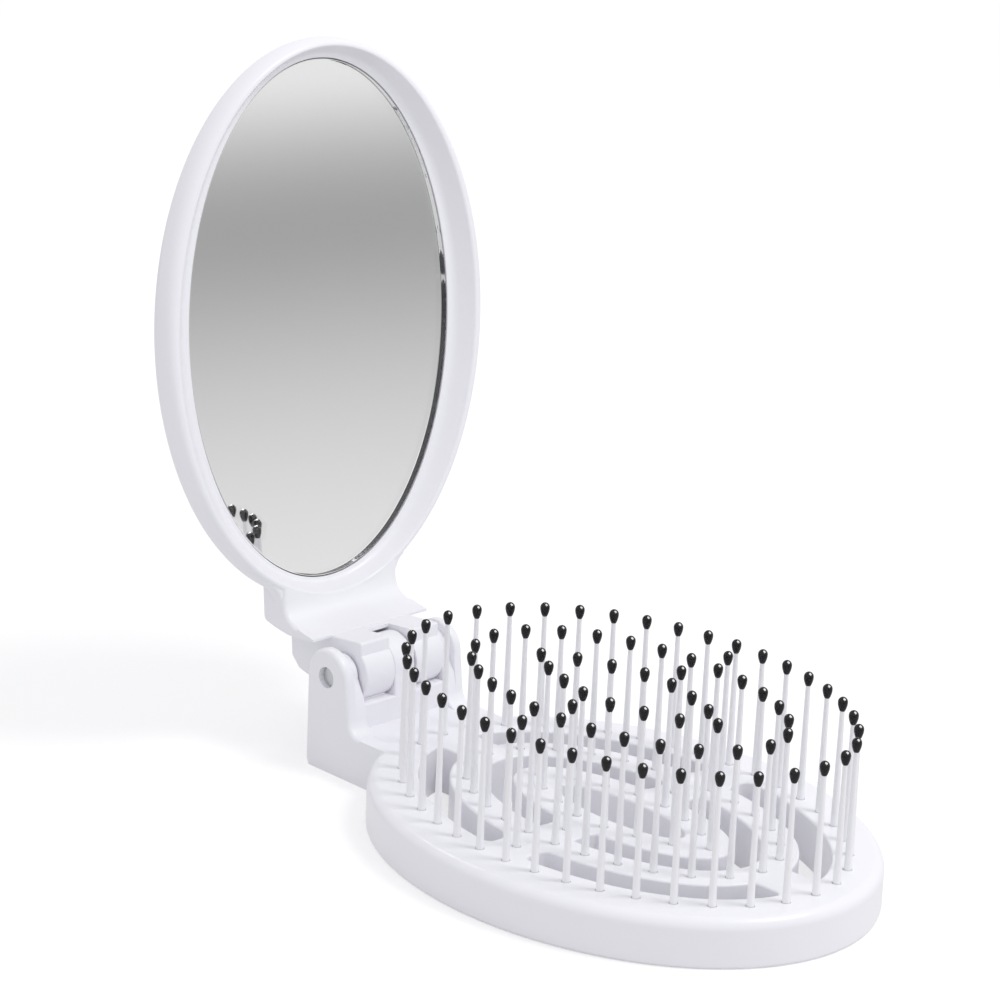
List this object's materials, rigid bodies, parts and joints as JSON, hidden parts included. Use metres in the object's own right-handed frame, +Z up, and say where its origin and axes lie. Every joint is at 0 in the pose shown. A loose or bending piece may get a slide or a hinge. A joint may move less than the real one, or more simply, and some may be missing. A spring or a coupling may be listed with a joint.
{
  "type": "folding hairbrush with mirror",
  "caption": "Compact folding hairbrush: an oval vented base with bead-tipped pins, hinged by its ears to an oval mirror frame that folds over the pins or lies flat as a handle.",
  "frame": {"origin": "on the table, straight under the hinge axis, in the middle of the hinge's width", "axes": "+X from the hinge along the brush base, +Y across the brush along the hinge axis, +Z up from the table; the mirror half is stored standing open at 95 degrees"},
  "size_m": [0.124, 0.0674, 0.1152],
  "materials": {
    "shell_white": "glossy",
    "pin_nylon": "slightly translucent satin",
    "bead_black": "glossy",
    "pin_steel": "satin",
    "mirror_silver": "polished",
    "pad_foam": "matt foam tape"
  },
  "bodies": {
    "brush": {"brush_body": "shell_white", "back_cover": "shell_white", "pins_outer_row": "pin_nylon", "pins_middle_row": "pin_nylon", "pins_inner_row": "pin_nylon", "pins_on_webs": "pin_nylon", "tips_outer_row": "bead_black", "tips_middle_row": "bead_black", "tips_inner_row": "bead_black", "tips_on_webs": "bead_black", "hinge_pin": "pin_steel"},
    "mirror": {"mirror_frame": "shell_white", "mirror_glass": "mirror_silver", "mirror_pad": "pad_foam"}
  },
  "joints": [
    {"name": "mirror_hinge", "type": "hinge", "parent": "brush", "child": "mirror", "pos_m": [0, 0, 0.0161], "axis": [0, -1, 0], "range_deg": [-95, 85]}
  ]
}
